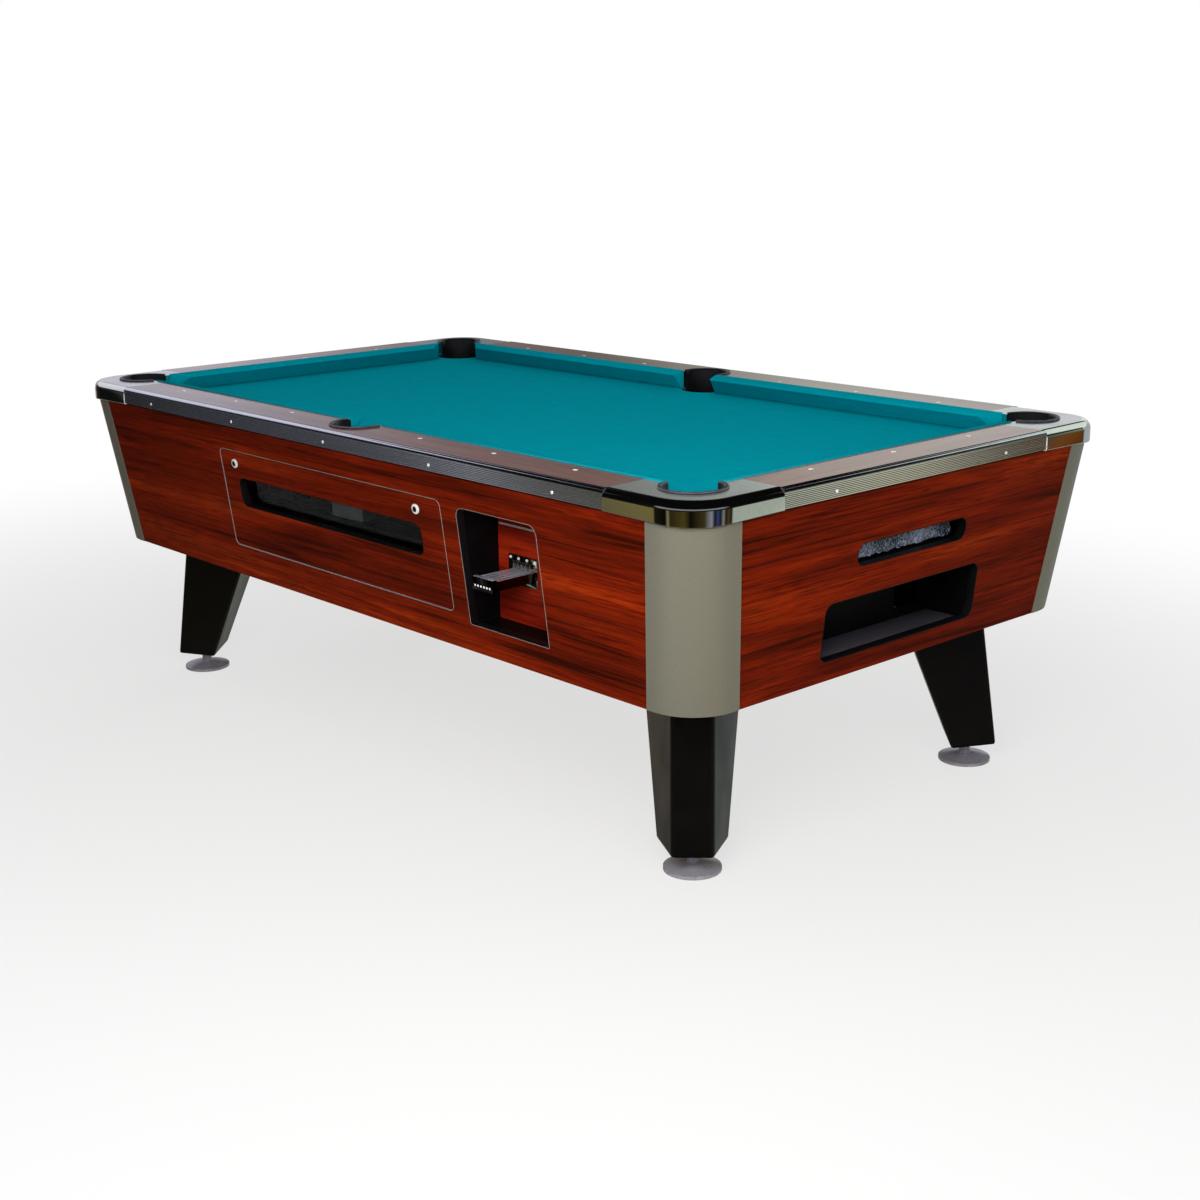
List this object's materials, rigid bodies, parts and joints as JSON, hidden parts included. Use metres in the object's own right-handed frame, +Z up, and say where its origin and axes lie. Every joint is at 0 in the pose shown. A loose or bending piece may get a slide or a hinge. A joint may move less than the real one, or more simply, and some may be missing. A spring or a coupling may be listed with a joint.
{
  "type": "coin-operated pool table",
  "caption": "Pool table on tapered legs with a leaning laminate cabinet, chromed corner castings, teal cloth, a windowed service door, a coin slide, a ball return and a rack slot.",
  "frame": {"origin": "on the floor under the middle of the table", "axes": "+X along the table to the foot end with the ball return, +Z up, -Y to the front with the service door and the coin recess"},
  "size_m": [2.286, 1.2954, 0.801],
  "materials": {
    "cabinet_laminate": "satin mahogany laminate with level grain",
    "rail_laminate": "satin mahogany laminate",
    "timber": "plain softwood and board",
    "slate": "honed slate",
    "cloth": "napped wool cloth, teal",
    "corner_cover": "brushed upright, clear lacquered",
    "rail_trim": "ribbed extrusion, satin",
    "corner_casting": "polished plate on a die casting",
    "pocket_rubber": "matt moulded rubber",
    "leg": "black satin laminate",
    "leveller": "turned steel, satin",
    "window": "clear acrylic",
    "lock_chrome": "polished plate",
    "steel": "bright steel",
    "black_board": "black painted board",
    "runway": "moulded sheet",
    "rack": "moulded plastic"
  },
  "bodies": {
    "table": {"cabinet_front_panel": "cabinet_laminate", "cabinet_foot_panel": "cabinet_laminate", "cabinet_rear_panel": "cabinet_laminate", "cabinet_head_panel": "cabinet_laminate", "coin_back_panel": "cabinet_laminate", "front_rail": "rail_laminate", "foot_rail": "rail_laminate", "rear_rail": "rail_laminate", "head_rail": "rail_laminate", "cabinet_floor": "timber", "slate_frame": "timber", "slate_bed": "slate", "bed_cloth": "cloth", "head_cushion": "cloth", "foot_cushion": "cloth", "front_cushion_head": "cloth", "front_cushion_foot": "cloth", "rear_cushion_head": "cloth", "rear_cushion_foot": "cloth", "corner_cover_front_head": "corner_cover", "corner_cover_front_foot": "corner_cover", "corner_cover_rear_head": "corner_cover", "corner_cover_rear_foot": "corner_cover", "front_trim": "rail_trim", "foot_trim": "rail_trim", "rear_trim": "rail_trim", "head_trim": "rail_trim", "corner_casting_front_head": "corner_casting", "corner_casting_front_foot": "corner_casting", "corner_casting_rear_head": "corner_casting", "corner_casting_rear_foot": "corner_casting", "corner_pocket_front_head": "pocket_rubber", "corner_pocket_front_foot": "pocket_rubber", "corner_pocket_rear_head": "pocket_rubber", "corner_pocket_rear_foot": "pocket_rubber", "side_pocket_front": "pocket_rubber", "side_pocket_rear": "pocket_rubber", "leg_front_head": "leg", "leg_front_foot": "leg", "leg_rear_head": "leg", "leg_rear_foot": "leg", "coin_chassis": "lock_chrome", "door_hinge_rod": "steel", "cash_box": "steel", "coin_housing": "black_board", "ball_tray": "black_board", "return_box": "black_board", "rack_shelf": "black_board", "ball_runway": "runway"},
    "service_door": {"service_door": "cabinet_laminate", "door_window_pane": "window"},
    "door_lock_left": {"door_lock_left": "lock_chrome"},
    "door_lock_right": {"door_lock_right": "lock_chrome"},
    "coin_slide": {"coin_slide": "steel"},
    "release_lever": {"release_lever": "steel"},
    "leveller_front_head": {"leveller_front_head": "leveller"},
    "leveller_front_foot": {"leveller_front_foot": "leveller"},
    "leveller_rear_head": {"leveller_rear_head": "leveller"},
    "leveller_rear_foot": {"leveller_rear_foot": "leveller"},
    "triangle_rack": {"triangle_rack": "rack"}
  },
  "joints": [
    {"name": "door_hinge", "type": "hinge", "parent": "table", "child": "service_door", "pos_m": [-0.0395, -0.60158, 0.45352], "axis": [1, 0, 0], "range_deg": [0, 120]},
    {"name": "left_lock_turn", "type": "hinge", "parent": "service_door", "child": "door_lock_left", "pos_m": [-0.41, -0.62784, 0.664], "axis": [0, -0.9923, -0.1238], "range_deg": [0, 90]},
    {"name": "right_lock_turn", "type": "hinge", "parent": "service_door", "child": "door_lock_right", "pos_m": [0.3095, -0.62784, 0.664], "axis": [0, -0.9923, -0.1238], "range_deg": [0, 90]},
    {"name": "coin_push", "type": "slide", "parent": "table", "child": "coin_slide", "axis": [0, 1, 0], "range_m": [0, 0.06]},
    {"name": "release_swing", "type": "hinge", "parent": "table", "child": "release_lever", "pos_m": [0.62, -0.4072, 0.535], "axis": [0, 0, -1], "range_deg": [0, 43.5]},
    {"name": "levelling_front_head", "type": "slide", "parent": "table", "child": "leveller_front_head", "axis": [0, 0, -1], "range_m": [0, 0.02]},
    {"name": "levelling_front_foot", "type": "slide", "parent": "table", "child": "leveller_front_foot", "axis": [0, 0, -1], "range_m": [0, 0.02]},
    {"name": "levelling_rear_head", "type": "slide", "parent": "table", "child": "leveller_rear_head", "axis": [0, 0, -1], "range_m": [0, 0.02]},
    {"name": "levelling_rear_foot", "type": "slide", "parent": "table", "child": "leveller_rear_foot", "axis": [0, 0, -1], "range_m": [0, 0.02]},
    {"name": "rack_draw", "type": "slide", "parent": "table", "child": "triangle_rack", "axis": [1, 0, 0], "range_m": [0, 0.35]}
  ],
  "couplings": [
    {"joint": "release_swing", "follows": "coin_push", "rad_per_m": 12.5}
  ]
}
